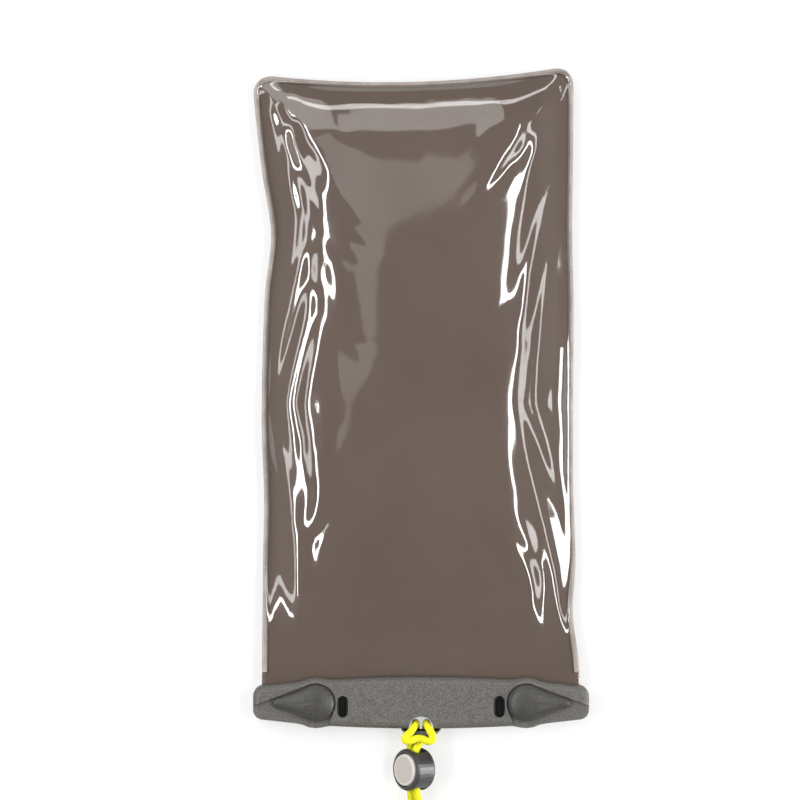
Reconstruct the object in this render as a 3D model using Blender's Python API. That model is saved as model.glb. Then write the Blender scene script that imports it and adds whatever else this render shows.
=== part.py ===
"""A waterproof pouch: two welded films, a clamping clip with two twist levers, a lanyard and its cord lock.

The pouch lies on its back. +Y points to its closed end, +Z to its clear front, and z = 0 is the table.
"""

import math

import bmesh
import bpy
from mathutils import Matrix, Vector

MM = 0.001

# Clearances shared by all pieces
FIT = 0.3 * MM
HALF_FIT = FIT / 2
# Cutters run past the solid they cut by this much
PAST = 1.0 * MM

# Films
FILM = 0.5 * MM
WELD_WIDTH = 2.1 * MM
CORNER_RADIUS = 9.7 * MM
MOUTH_Y = -133.8 * MM
CLOSED_END_Y = 148.2 * MM
CLOSED_END_BOW = 4.6 * MM
CLOSED_END_SLOPE = 2.3 * MM
CLOSED_END_REACH = 67.0 * MM
FRONT_BULGE = 13.5 * MM
SEAM_HEIGHT = 5.0 * MM
SIDE_RISE = 34.0 * MM
CLOSED_RISE = 30.0 * MM
END_RISE = 46.0 * MM
BACK_RISE = 17.0 * MM
FOLD_HEIGHT = 1.5 * MM
FOLD_PITCH = 37.0 * MM
FOLD_REACH = 15.0 * MM
COLUMNS = 18
ROWS = 32
# The side edges as drawn: height along the pouch, then the left and the right edge, in millimetres
SIDE_EDGES = (
    (-134.0, -73.2, 73.4),
    (-117.0, -73.1, 72.4),
    (-96.0, -72.9, 69.9),
    (-73.0, -72.7, 71.2),
    (-43.0, -72.2, 70.2),
    (-7.0, -73.3, 70.0),
    (48.0, -71.9, 70.2),
    (77.0, -69.0, 69.6),
    (104.0, -73.0, 69.9),
    (125.0, -75.6, 70.1),
    (142.0, -77.2, 70.2),
    (154.0, -77.2, 70.2),
)

# Clip
CLIP_Y = -137.5 * MM
CLIP_LENGTH = 154.4 * MM
CLIP_HALF_WIDTH = 11.9 * MM
CLIP_SHOULDER_HALF_WIDTH = 9.9 * MM
CLIP_END_HALF_WIDTH = 7.3 * MM
CLIP_CORNER_RADIUS = 4.6 * MM
SHOULDER_X = 54.0 * MM
SEAM_PLANE = 7.0 * MM
REAR_JAW_TOP = SEAM_PLANE - HALF_FIT
FRONT_JAW_BOTTOM = SEAM_PLANE + HALF_FIT
MOUTH_HALF_OPENING = 1.4 * MM
MOUTH_SIDE_ROOM = 1.4 * MM
MOUTH_END_ROOM = 0.4 * MM
FRONT_JAW_TOP = 13.0 * MM
FRONT_EDGE_RADIUS = 2.8 * MM
REAR_EDGE_RADIUS = 2.0 * MM
PARTING_EDGE_RADIUS = 0.4 * MM

# Seals
SEAL_WIDTH = 2.0 * MM
SEAL_DEPTH = 2.1 * MM
SEAL_END_WALL = 2.7 * MM
SEAL_LENGTH = CLIP_LENGTH - 2 * SEAL_END_WALL
SEAL_Y = -132.2 * MM

# Twist levers
HUB_X = 48.3 * MM
HUB_RADIUS = 11.7 * MM
LEVER_HEAD_RADIUS = 8.6 * MM
LEVER_TIP_RADIUS = 2.2 * MM
LEVER_REACH = 18.1 * MM
LEVER_HEAD_HEIGHT = 5.0 * MM
LEVER_TIP_HEIGHT = 3.1 * MM
LEVER_WAIST = 0.28
LEVER_WALL = 0.34
LEVER_FOOT_BEVEL = 0.035
LEVER_FOOT_RISE = 0.09
RECESS_FLOOR = 11.2 * MM
RECESS_GAP = 0.5 * MM
SHAFT_RADIUS = 3.0 * MM
TOGGLE_LENGTH = 10.6 * MM
TOGGLE_WIDTH = 3.8 * MM
TOGGLE_BOTTOM = 0.6 * MM
TOGGLE_TOP = 2.4 * MM

# Locating pegs
PEG_TO_HUB = 12.3 * MM
PEG_X = HUB_X - PEG_TO_HUB
PEG_Y = -139.1 * MM
PEG_WIDTH = 4.3 * MM
PEG_LENGTH = 9.4 * MM
PEG_SHANK_INSET = 0.6 * MM
PEG_HEAD_DEPTH = 1.6 * MM
PEG_SUNK = 0.3 * MM
PEG_RIM = 0.55 * MM
PEG_EDGE = 0.25 * MM
PEG_GROOVE_WIDTH = 0.6 * MM
PEG_GROOVE_DEPTH = 0.7 * MM

# Lanyard lug
NOTCH_RADIUS = 5.7 * MM
LUG_CLEARANCE = 0.35 * MM
LUG_HALF_WIDTH = 9.1 * MM
LUG_LENGTH = 4.3 * MM
LUG_BAR_BOTTOM = 5.9 * MM
LUG_BAR_TOP = 9.5 * MM
LUG_CHEEK_BOTTOM = 0.9 * MM
LUG_CHANNEL_HALF_WIDTH = 6.1 * MM
LUG_ROOT_INSET = 0.35 * MM
LUG_ROOT_DEPTH = 3.0 * MM
LUG_CORNER = 0.8 * MM

# Cord lock
LOCK_CENTRE = Vector((-3.6, -168.1, 10.7)) * MM
LOCK_TILT = math.radians(51)
LOCK_RADIUS = 9.7 * MM
LOCK_BACK = -5.7 * MM
LOCK_FLOOR = -4.8 * MM
LOCK_LIP_BOTTOM = 3.9 * MM
LOCK_FRONT = 4.7 * MM
LOCK_BORE = 8.2 * MM
LOCK_EDGE = 1.1 * MM
LOCK_LIP_EDGE = 0.4 * MM
LOCK_MOUTH_WIDER = 1.3 * MM
LOCK_MOUTH_DEEPER = 1.2 * MM
BUTTON_RADIUS = 7.25 * MM
BUTTON_TOP = 5.7 * MM
BUTTON_BOTTOM = -2.9 * MM
BUTTON_TRAVEL = 1.2 * MM
BUTTON_EDGE = 0.6 * MM
BUTTON_CROWN = 0.15 * MM
FLANGE_EDGE = 0.3 * MM
SPRING_WIRE = 0.5 * MM
SPRING_FOOT_RADIUS = 6.0 * MM
SPRING_TOP_RADIUS = 2.6 * MM
SPRING_TURNS = 2.5
SPRING_END_GAP = 0.15 * MM

# Lanyard cord
CORD_DIAMETER = 3.6 * MM
STRAND_SPACING = 3.75 * MM
COIL_RADIUS = 21.6 * MM
COIL_CENTRE = Vector((-23.7, -211.5)) * MM
COIL_BASE = 0.8 * MM
COIL_LAYERS = 3
LAYER_RISE = 3.65 * MM
TUBE_SIDES = 2
TUBE_POINTS = 78
# The cord's centreline in millimetres: first the hitch's right half and its strand to the coil
RIGHT_STRAND = (
    (-0.9, -153.8, 12.0),
    (1.1, -154.2, 12.1),
    (2.9, -155.0, 12.7),
    (4.7, -154.8, 13.1),
    (5.4, -153.0, 13.0),
    (4.3, -150.4, 12.4),
    (3.0, -148.2, 10.9),
    (2.5, -146.9, 7.8),
    (2.4, -148.0, 4.7),
    (2.0, -151.4, 3.6),
    (0.7, -154.5, 3.8),
    (-0.6, -156.3, 6.9),
    (-1.7, -157.7, 10.4),
    (-2.4, -159.2, 12.0),
    (-2.4, -161.6, 12.2),
    (-2.4, -167.8, 12.2),
    (-2.4, -175.6, 12.2),
    (-1.6, -181.8, 9.4),
    (-0.6, -188.5, 4.4),
    (-0.25, -193.0, 2.8),
    (-0.225, -197.5, 2.6),
)
LEFT_STRAND = (
    (-3.1, -154.1, 12.3),
    (-5.4, -154.9, 12.9),
    (-7.3, -154.5, 13.1),
    (-7.0, -152.8, 13.1),
    (-4.7, -150.6, 12.9),
    (-3.05, -148.2, 11.0),
    (-2.5, -146.9, 7.8),
    (-2.4, -148.0, 4.7),
    (-2.4, -151.4, 3.6),
    (-3.3, -154.4, 3.8),
    (-4.6, -156.3, 5.8),
    (-5.0, -158.4, 8.2),
    (-4.8, -160.9, 9.2),
    (-4.8, -167.8, 9.2),
    (-4.8, -175.6, 9.2),
    (-4.5, -181.5, 6.9),
    (-4.1, -187.5, 3.5),
    (-3.975, -192.6, 2.6),
)
TIE_ANGLE = math.radians(205)
TIE_SPREAD = math.radians(11)
TIE_THICKNESS = 0.5 * MM
FERRULE_ANGLE = math.radians(70)
FERRULE_LENGTH = 12.0 * MM
FERRULE_WIDTH = 9.0 * MM
FERRULE_HEIGHT = 4.8 * MM
FERRULE_BOTTOM_EDGE = 0.9 * MM
FERRULE_TOP_EDGE = 1.1 * MM

# Colours, in linear light, with roughness and metallic value
MATERIALS = {
    "clear_film": ((0.62, 0.6, 0.58), 0.08, 0.0),
    "taupe_film": ((0.16, 0.125, 0.105), 0.3, 0.0),
    "grey_plastic": ((0.115, 0.11, 0.1), 0.55, 0.0),
    "lever_plastic": ((0.06, 0.058, 0.054), 0.45, 0.0),
    "black_rubber": ((0.012, 0.012, 0.012), 0.35, 0.0),
    "lock_plastic": ((0.02, 0.02, 0.022), 0.3, 0.0),
    "button_plastic": ((0.36, 0.33, 0.3), 0.4, 0.0),
    "spring_steel": ((0.55, 0.55, 0.55), 0.3, 1.0),
    "yellow_cord": ((0.72, 0.82, 0.02), 0.7, 0.0),
}


def clear_scene():
    for obj in list(bpy.data.objects):
        bpy.data.objects.remove(obj, do_unlink=True)


def make_materials():
    """One Principled material for each entry of MATERIALS, by name."""
    made = {}
    for name, (colour, roughness, metallic) in MATERIALS.items():
        material = bpy.data.materials.new(name)
        material.use_nodes = True
        shader = material.node_tree.nodes["Principled BSDF"]
        shader.inputs["Base Color"].default_value = (*colour, 1.0)
        shader.inputs["Roughness"].default_value = roughness
        shader.inputs["Metallic"].default_value = metallic
        made[name] = material
    return made


def add_object(name, data, material=None, location=(0, 0, 0), parent=None):
    obj = bpy.data.objects.new(name, data)
    obj.location = location
    obj.parent = parent
    if material is not None:
        data.materials.append(material)
    bpy.context.scene.collection.objects.link(obj)
    return obj


def mesh_from(bm, name, sharp_degrees=35):
    bmesh.ops.recalc_face_normals(bm, faces=bm.faces)
    mesh = bpy.data.meshes.new(name)
    bm.to_mesh(mesh)
    bm.free()
    mesh.shade_smooth()
    mesh.set_sharp_from_angle(angle=math.radians(sharp_degrees))
    return mesh


def as_tool(obj):
    """Marks an object as a cutter or as the half of a union, which isn't a piece of its own."""
    obj.hide_render = True
    obj.display_type = "WIRE"
    return obj


def combine(obj, tool, operation="DIFFERENCE"):
    modifier = obj.modifiers.new(tool.name, "BOOLEAN")
    modifier.operation = operation
    modifier.solver = "EXACT"
    modifier.object = tool


def smoothstep(t):
    t = min(max(t, 0.0), 1.0)
    return t * t * (3 - 2 * t)


def arc(centre, radius, start, end, steps):
    """Points on an arc, both ends included. Angles are in degrees."""
    points = []
    for i in range(steps + 1):
        angle = math.radians(start + (end - start) * i / steps)
        points.append((centre[0] + radius * math.cos(angle), centre[1] + radius * math.sin(angle)))
    return points


def inset_outline(outline, distance):
    """A counterclockwise outline moved inwards by a distance, corner by corner."""
    moved = []
    count = len(outline)
    for i in range(count):
        before = Vector(outline[i - 1])
        here = Vector(outline[i])
        after = Vector(outline[(i + 1) % count])
        first = (here - before).normalized()
        second = (after - here).normalized()
        normal = Vector((-first.y - second.y, first.x + second.x)).normalized()
        along = max(normal.dot(Vector((-first.y, first.x))), 0.3)
        moved.append(tuple(here + normal * distance / along))
    return moved


def loft(rings, name, sharp_degrees=35):
    """A closed solid through rings of (x, y, z) points, capped at both ends."""
    bm = bmesh.new()
    rows = [[bm.verts.new(point) for point in ring] for ring in rings]
    for low, high in zip(rows, rows[1:]):
        for i in range(len(low)):
            j = (i + 1) % len(low)
            bm.faces.new((low[i], low[j], high[j], high[i]))
    bm.faces.new(rows[0][::-1])
    bm.faces.new(rows[-1])
    return mesh_from(bm, name, sharp_degrees)


def plate(outline, bottom, top, name, bottom_radius=0.0, top_radius=0.0, steps=3):
    """An outline extruded upwards, with its bottom and top edges rounded."""
    rings = []

    def ring(distance, height):
        rings.append([(x, y, height) for x, y in inset_outline(outline, distance)])

    for i in range(steps if bottom_radius else 0):
        turn = math.pi / 2 * i / steps
        ring(bottom_radius * (1 - math.sin(turn)), bottom + bottom_radius * (1 - math.cos(turn)))
    ring(0, bottom + bottom_radius)
    ring(0, top - top_radius)
    for i in range(1, steps + 1 if top_radius else 0):
        turn = math.pi / 2 * i / steps
        ring(top_radius * (1 - math.cos(turn)), top - top_radius * (1 - math.sin(turn)))
    return loft(rings, name)


def obround(centre, width, length, steps=8):
    """A slot outline with round ends, long along Y."""
    radius = width / 2
    reach = (length - width) / 2
    upper = arc((centre[0], centre[1] + reach), radius, 0, 180, steps)
    lower = arc((centre[0], centre[1] - reach), radius, 180, 360, steps)
    return upper + lower


def box_outline(x0, x1, y0, y1):
    return [(x0, y0), (x1, y0), (x1, y1), (x0, y1)]


def turned(profile, name, steps=40, sharp_degrees=35):
    """A solid of revolution about Z, through (radius, height) points from its axis to its axis."""
    bm = bmesh.new()
    rings = []
    for radius, height in profile:
        if radius == 0:
            rings.append([bm.verts.new((0, 0, height))] * steps)
            continue
        angles = [2 * math.pi * i / steps for i in range(steps)]
        rings.append([bm.verts.new((radius * math.cos(a), radius * math.sin(a), height)) for a in angles])
    for low, high in zip(rings, rings[1:]):
        for i in range(steps):
            j = (i + 1) % steps
            corners = dict.fromkeys((low[i], low[j], high[j], high[i]))
            bm.faces.new(list(corners))
    return mesh_from(bm, name, sharp_degrees)


# Films


def side_edge(y, side):
    """The x of the left (side 1) or right (side 2) edge at y, smooth through SIDE_EDGES."""
    rows = SIDE_EDGES
    y_mm = min(max(y / MM, rows[0][0]), rows[-1][0])
    i = next(k for k in range(len(rows) - 1) if y_mm <= rows[k + 1][0])
    before = rows[max(i - 1, 0)]
    here = rows[i]
    after = rows[i + 1]
    beyond = rows[min(i + 2, len(rows) - 1)]
    span = after[0] - here[0]
    t = (y_mm - here[0]) / span
    slope_here = (after[side] - before[side]) / (after[0] - before[0]) * span
    slope_after = (beyond[side] - here[side]) / (beyond[0] - here[0]) * span
    cubic = (2 * t**3 - 3 * t**2 + 1) * here[side] + (t**3 - 2 * t**2 + t) * slope_here
    return (cubic + (3 * t**2 - 2 * t**3) * after[side] + (t**3 - t**2) * slope_after) * MM


def closed_end(x):
    share = x / CLOSED_END_REACH
    return CLOSED_END_Y + CLOSED_END_BOW * share**2 + CLOSED_END_SLOPE * share


def film_point(u, v):
    """A point of the flat cut film. u runs 0 to 1 across it and v from the mouth to the closed end."""
    y = MOUTH_Y + (CLOSED_END_Y - MOUTH_Y) * v
    left = side_edge(y, 1)
    right = side_edge(y, 2)
    x = left + (right - left) * u
    y += (closed_end(x) - CLOSED_END_Y) * v**3
    from_side = min(x - left, right - x)
    from_end = closed_end(x) - y
    if from_side < CORNER_RADIUS and from_end < CORNER_RADIUS:
        p = 1 - from_side / CORNER_RADIUS
        q = 1 - from_end / CORNER_RADIUS
        pull_x = CORNER_RADIUS * p * (1 - math.sqrt(1 - q * q / 2))
        pull_y = CORNER_RADIUS * q * (1 - math.sqrt(1 - p * p / 2))
        x += pull_x if u < 0.5 else -pull_x
        y -= pull_y
    return x, y


def film_steps(count, length, both_ends):
    """Positions from 0 to 1 with the weld as the last step, at one end or at both."""
    weld = WELD_WIDTH / length
    start = weld if both_ends else 0.0
    inner = [start + (1 - weld - start) * i / count for i in range(count + 1)]
    return ([0.0] if both_ends else []) + inner + [1.0]


def seam_height(y):
    """Height of the welded seam: level inside the clip, then lower where the pouch lies down."""
    out_of_clip = smoothstep((y - (CLIP_Y + CLIP_HALF_WIDTH)) / END_RISE)
    return SEAM_PLANE + (SEAM_HEIGHT - SEAM_PLANE) * out_of_clip


def swell(distance, reach):
    """From 0 at an edge to 1 where the film lies level, round like a pillow's edge."""
    t = min(max(distance / reach, 0.0), 1.0)
    return (1 - (1 - t) ** 2) ** 0.8


def film_height(x, y, u, is_front):
    side = min(x - side_edge(y, 1), side_edge(y, 2) - x) - WELD_WIDTH
    end = closed_end(x) - y - WELD_WIDTH
    mouth = y - (CLIP_Y + CLIP_HALF_WIDTH)
    seam = seam_height(y)
    if not is_front:
        level = smoothstep(side / BACK_RISE) * smoothstep(end / BACK_RISE) * smoothstep(mouth / END_RISE)
        return (seam - HALF_FIT) * (1 - level) + FILM * level
    lift = swell(side, SIDE_RISE) * swell(end, CLOSED_RISE) * smoothstep(mouth / (1.6 * END_RISE))
    slant = 1 if u < 0.5 else -1
    wave = math.sin(2 * math.pi * (y + slant * 0.6 * side) / FOLD_PITCH + 2.2 * u)
    fold = FOLD_HEIGHT * wave * math.exp(-((side / FOLD_REACH - 1) ** 2)) * min(lift * 2, 1)
    return seam + HALF_FIT + FRONT_BULGE * lift + fold


def make_film(name, material, is_front):
    """The film's inner face as a grid, thickened outwards."""
    width = side_edge(0, 2) - side_edge(0, 1)
    across = film_steps(COLUMNS, width, both_ends=True)
    along = film_steps(ROWS, CLOSED_END_Y - MOUTH_Y, both_ends=False)
    bm = bmesh.new()
    rows = []
    for v in along:
        row = []
        for u in across:
            x, y = film_point(u, v)
            row.append(bm.verts.new((x, y, film_height(x, y, u, is_front))))
        rows.append(row)
    for low, high in zip(rows, rows[1:]):
        for i in range(len(low) - 1):
            corners = (low[i], low[i + 1], high[i + 1], high[i])
            bm.faces.new(corners if is_front else corners[::-1])
    mesh = bpy.data.meshes.new(name)
    bm.to_mesh(mesh)
    bm.free()
    mesh.shade_smooth()
    film = add_object(name, mesh, material)
    thickness = film.modifiers.new("Thickness", "SOLIDIFY")
    thickness.thickness = FILM
    thickness.offset = 1
    return film


# Clip


def clip_half_width(x):
    """Half the clip's width at x: a shallow bow, a straight taper to its ends and a boss at each hub."""
    x = abs(x)
    if x < SHOULDER_X:
        base = CLIP_HALF_WIDTH - (CLIP_HALF_WIDTH - CLIP_SHOULDER_HALF_WIDTH) * (x / SHOULDER_X) ** 2
    else:
        share = (x - SHOULDER_X) / (CLIP_LENGTH / 2 - SHOULDER_X)
        base = CLIP_SHOULDER_HALF_WIDTH + (CLIP_END_HALF_WIDTH - CLIP_SHOULDER_HALF_WIDTH) * share
    offset = abs(x - HUB_X)
    boss = math.sqrt(HUB_RADIUS**2 - offset**2) if offset < HUB_RADIUS else 0.0
    blend = 0.5 * MM
    return (base + boss + math.sqrt((base - boss) ** 2 + blend**2)) / 2


def clip_outline():
    """Counterclockwise, with rounded ends."""
    reach = CLIP_LENGTH / 2 - CLIP_CORNER_RADIUS
    steps = 48
    lower = []
    for i in range(steps + 1):
        x = -reach + 2 * reach * i / steps
        lower.append((x, CLIP_Y - clip_half_width(x)))
    end_low = clip_half_width(reach) - CLIP_CORNER_RADIUS
    right = arc((reach, CLIP_Y - end_low), CLIP_CORNER_RADIUS, -90, 0, 5)[1:]
    right += arc((reach, CLIP_Y + end_low), CLIP_CORNER_RADIUS, 0, 90, 5)[:-1]
    upper = [(-x, 2 * CLIP_Y - y) for x, y in lower]
    left = [(-x, 2 * CLIP_Y - y) for x, y in right]
    return lower + right + upper + left


def hub(side):
    return side * HUB_X, CLIP_Y


def lever_slope():
    """The angle between the lever's long edge and its own long axis, in degrees."""
    return math.degrees(math.asin((LEVER_HEAD_RADIUS - LEVER_TIP_RADIUS) / LEVER_REACH))


def recess_outline(side):
    """The floor that a lever sweeps: round at the hub, then a straight stop along each end of its turn."""
    radius = LEVER_HEAD_RADIUS + RECESS_GAP
    slope = lever_slope()
    far = 45 * MM
    points = arc((0, 0), radius, -90 + 90 - slope, 90 + slope, 18)
    run = math.radians(180 + slope)
    points.append((points[-1][0] + far * math.cos(run), points[-1][1] + far * math.sin(run)))
    points.append((-far, -far))
    drop = math.radians(270 - slope)
    points.append((points[0][0] + far * math.cos(drop), points[0][1] + far * math.sin(drop)))
    x, y = hub(side)
    if side < 0:
        return [(x + px, y + py) for px, py in points]
    return [(x - px, y + py) for px, py in reversed(points)]


def drill(jaw, x, y, radius, bottom, top):
    name = f"cut_hole_{len(bpy.data.objects)}"
    hole = add_object(name, plate(arc((x, y), radius, 0, 360, 32)[:-1], bottom, top, name))
    combine(jaw, as_tool(hole))


def cut(jaw, outline, bottom, top):
    name = f"cut_shape_{len(bpy.data.objects)}"
    combine(jaw, as_tool(add_object(name, plate(outline, bottom, top, name))))


def toggle_outline(side, turn_degrees, grow=0.0):
    """The crossbar at the foot of a lever's shaft, seen from above."""
    half = TOGGLE_LENGTH / 2 + grow
    width = TOGGLE_WIDTH / 2 + grow
    spin = math.radians(turn_degrees)
    x, y = hub(side)
    corners = []
    for px, py in box_outline(-half, half, -width, width):
        across = px * math.cos(spin) - py * math.sin(spin)
        along = px * math.sin(spin) + py * math.cos(spin)
        corners.append((x + across, y + along))
    return corners


def mouth_recess(jaw, bottom, top):
    """Room for the two films, from the clip's upper edge to just past the end of the films."""
    half = max(-side_edge(MOUTH_Y, 1), side_edge(MOUTH_Y, 2)) + MOUTH_SIDE_ROOM
    cut(jaw, box_outline(-half, half, MOUTH_Y - MOUTH_END_ROOM, CLIP_Y + 2 * CLIP_HALF_WIDTH), bottom, top)


def seal_groove(jaw, bottom, top):
    half = SEAL_LENGTH / 2 + FIT
    low = SEAL_Y - SEAL_WIDTH / 2 - FIT
    high = SEAL_Y + SEAL_WIDTH / 2 + FIT
    cut(jaw, box_outline(-half, half, low, high), bottom, top)


def notch_outline():
    """The lanyard hole: half round at its top and open at the clip's lower edge."""
    edge = CLIP_Y - CLIP_HALF_WIDTH
    foot = edge - LUG_CLEARANCE / 2
    return arc((0, edge), NOTCH_RADIUS, 0, 180, 20) + [(-NOTCH_RADIUS, foot), (NOTCH_RADIUS, foot)]


def make_front_jaw(material):
    shape = plate(
        clip_outline(), FRONT_JAW_BOTTOM, FRONT_JAW_TOP, "front_jaw", PARTING_EDGE_RADIUS, FRONT_EDGE_RADIUS
    )
    jaw = add_object("front_jaw", shape, material)
    above = FRONT_JAW_TOP + PAST
    below = FRONT_JAW_BOTTOM - PAST
    for side in (-1, 1):
        cut(jaw, recess_outline(side), RECESS_FLOOR, above)
        drill(jaw, *hub(side), SHAFT_RADIUS + FIT, below, above)
        head = obround((side * PEG_X, PEG_Y), PEG_WIDTH + 2 * FIT, PEG_LENGTH + 2 * FIT)
        cut(jaw, head, FRONT_JAW_TOP - PEG_SUNK - PEG_HEAD_DEPTH - FIT, above)
        shank = 2 * (FIT - PEG_SHANK_INSET)
        cut(jaw, obround((side * PEG_X, PEG_Y), PEG_WIDTH + shank, PEG_LENGTH + shank), below, above)
    cut(jaw, notch_outline(), below, above)
    mouth_recess(jaw, below, SEAM_PLANE + MOUTH_HALF_OPENING)
    seal_groove(jaw, below, SEAM_PLANE + HALF_FIT + FILM + FIT + SEAL_DEPTH + FIT)
    return jaw


def lug_outline(start):
    """The lug seen from above, from the height given to the foot of its bar: sides at 45 degrees."""
    edge = CLIP_Y - CLIP_HALF_WIDTH
    shoulder = edge - 2 * LUG_CLEARANCE
    foot = edge - LUG_LENGTH
    foot_half_width = LUG_HALF_WIDTH - (shoulder - foot)
    soft = LUG_CORNER
    right = [
        (foot_half_width - soft, foot),
        (foot_half_width + soft, foot + soft),
        (LUG_HALF_WIDTH, shoulder),
        (LUG_HALF_WIDTH, start),
    ]
    return [(-x, y) for x, y in reversed(right)] + right


def make_rear_jaw(material):
    shape = plate(clip_outline(), 0.0, REAR_JAW_TOP, "rear_jaw", REAR_EDGE_RADIUS, PARTING_EDGE_RADIUS)
    jaw = add_object("rear_jaw", shape, material)
    edge = CLIP_Y - CLIP_HALF_WIDTH
    below = -PAST
    above = REAR_JAW_TOP + PAST

    root = inset_outline(lug_outline(edge + LUG_ROOT_DEPTH), LUG_ROOT_INSET)
    root = plate(root, LUG_CHEEK_BOTTOM, LUG_BAR_BOTTOM - 0.1 * MM, "lug_root")
    combine(jaw, as_tool(add_object("lug_root", root)), "UNION")
    bar = lug_outline(edge - LUG_CLEARANCE)
    bar = plate(bar, LUG_CHEEK_BOTTOM + LUG_ROOT_INSET, LUG_BAR_TOP, "lug_bar", 0.0, LUG_CORNER, 3)
    combine(jaw, as_tool(add_object("lug_bar", bar)), "UNION")

    cut(jaw, notch_outline(), below, above)
    half = LUG_CHANNEL_HALF_WIDTH
    cut(jaw, box_outline(-half, half, edge - LUG_LENGTH - PAST, edge + PAST), below, LUG_BAR_BOTTOM)
    for side in (-1, 1):
        drill(jaw, *hub(side), SHAFT_RADIUS + FIT, below, above)
        drill(jaw, *hub(side), TOGGLE_LENGTH / 2 + 2 * FIT, below, TOGGLE_TOP + FIT)
        cut(jaw, toggle_outline(side, 90, FIT), below, above)
        shank = 2 * (FIT - PEG_SHANK_INSET)
        cut(jaw, obround((side * PEG_X, PEG_Y), PEG_WIDTH + shank, PEG_LENGTH + shank), below, above)
    mouth_recess(jaw, SEAM_PLANE - MOUTH_HALF_OPENING, above)
    seal_groove(jaw, SEAM_PLANE - HALF_FIT - FILM - FIT - SEAL_DEPTH - FIT, above)
    return jaw


def make_seal(name, bottom, material):
    low = SEAL_Y - SEAL_WIDTH / 2
    outline = box_outline(-SEAL_LENGTH / 2, SEAL_LENGTH / 2, low, low + SEAL_WIDTH)
    return add_object(name, plate(outline, bottom, bottom + SEAL_DEPTH, name), material)


def lever_ribs():
    """The points of a teardrop that points to -X: each has a foot on the axis, a direction and a reach."""
    lean = 90 + lever_slope()
    ribs = []

    def fan(foot, reach, start, end, steps):
        for x, y in arc((0, 0), 1.0, start, end, steps):
            ribs.append((foot, (x, y), reach))

    def flank(angle, shares):
        x, y = arc((0, 0), 1.0, angle, angle, 1)[0]
        for share in shares:
            narrowed = share + LEVER_WAIST * share * (1 - share)
            reach = LEVER_HEAD_RADIUS + (LEVER_TIP_RADIUS - LEVER_HEAD_RADIUS) * narrowed
            ribs.append((-LEVER_REACH * share, (x, y), reach))

    between = (0.25, 0.5, 0.75)
    fan(0.0, LEVER_HEAD_RADIUS, -lean, lean, 18)
    flank(lean, between)
    fan(-LEVER_REACH, LEVER_TIP_RADIUS, lean, 360 - lean, 6)
    flank(-lean, between[::-1])
    return ribs


def lever_top(x):
    """Height of the lever's ridge at x, from its head to its tip."""
    share = smoothstep(-x / LEVER_REACH)
    return LEVER_HEAD_HEIGHT + (LEVER_TIP_HEIGHT - LEVER_HEAD_HEIGHT) * share


def lever_rings(bottom):
    """A short upright wall, then a crown that rounds over to a ridge along the lever."""
    levels = [(1 - LEVER_FOOT_BEVEL, 0.0), (1.0, LEVER_FOOT_RISE)]
    for angle in (0, 18, 36, 53, 68, 82):
        turn = math.radians(angle)
        levels.append((math.cos(turn), LEVER_WALL + (1 - LEVER_WALL) * math.sin(turn)))
    rings = []
    for spread, share in levels:
        ring = []
        for foot, (x, y), reach in lever_ribs():
            ring.append((foot + x * reach * spread, y * reach * spread, bottom + lever_top(foot) * share))
        rings.append(ring)
    return rings


def make_lever(name, side, material):
    """A twist lever whose origin lies on its shaft, at the table's level."""
    pivot = bpy.data.objects.new(f"{name}_pivot", None)
    pivot.location = (*hub(side), 0.0)
    if side > 0:
        pivot.rotation_euler.z = math.pi
    bpy.context.scene.collection.objects.link(pivot)
    foot = RECESS_FLOOR + FIT
    lever = add_object(name, loft(lever_rings(foot), name, 50), material, parent=pivot)
    shaft = plate(arc((0, 0), SHAFT_RADIUS, 0, 360, 32)[:-1], TOGGLE_BOTTOM, foot + 1 * MM, f"{name}_shaft")
    combine(lever, as_tool(add_object(f"{name}_shaft", shaft, parent=pivot)), "UNION")
    half = TOGGLE_LENGTH / 2
    bar = box_outline(-half, half, -TOGGLE_WIDTH / 2, TOGGLE_WIDTH / 2)
    toggle = plate(bar, TOGGLE_BOTTOM + 0.1 * MM, TOGGLE_TOP, f"{name}_toggle")
    combine(lever, as_tool(add_object(f"{name}_toggle", toggle, parent=pivot)), "UNION")
    return lever


def make_peg(name, side, material):
    """An oblong peg through both jaws, its head sunk a little in the front one."""
    centre = (side * PEG_X, PEG_Y)
    top = FRONT_JAW_TOP - PEG_SUNK
    head = plate(obround(centre, PEG_WIDTH, PEG_LENGTH), top - PEG_HEAD_DEPTH, top, name, 0.0, PEG_EDGE, 2)
    peg = add_object(name, head, material)
    inset = 2 * PEG_SHANK_INSET
    shank = obround(centre, PEG_WIDTH - inset, PEG_LENGTH - inset)
    shank = plate(shank, FIT, top - PEG_HEAD_DEPTH / 2, f"{name}_shank")
    combine(peg, as_tool(add_object(f"{name}_shank", shank)), "UNION")
    rim = PEG_RIM
    outer = obround(centre, PEG_WIDTH - 2 * rim, PEG_LENGTH - 2 * rim)
    groove = plate(outer, top - PEG_GROOVE_DEPTH, top + PAST, f"{name}_groove")
    groove = add_object(f"{name}_groove", groove)
    rim += PEG_GROOVE_WIDTH
    core = obround(centre, PEG_WIDTH - 2 * rim, PEG_LENGTH - 2 * rim)
    kept = add_object(f"{name}_core", plate(core, top - 2 * PAST, top + 2 * PAST, f"{name}_core"))
    combine(groove, as_tool(kept))
    combine(peg, as_tool(groove))
    return peg


# Cord lock


def lock_frame():
    """An empty on the lock's axis: its Z runs out of the button and its Y along the cord."""
    frame = bpy.data.objects.new("lock_axis", None)
    frame.location = LOCK_CENTRE
    frame.rotation_euler.y = -LOCK_TILT
    bpy.context.scene.collection.objects.link(frame)
    return frame


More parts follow.
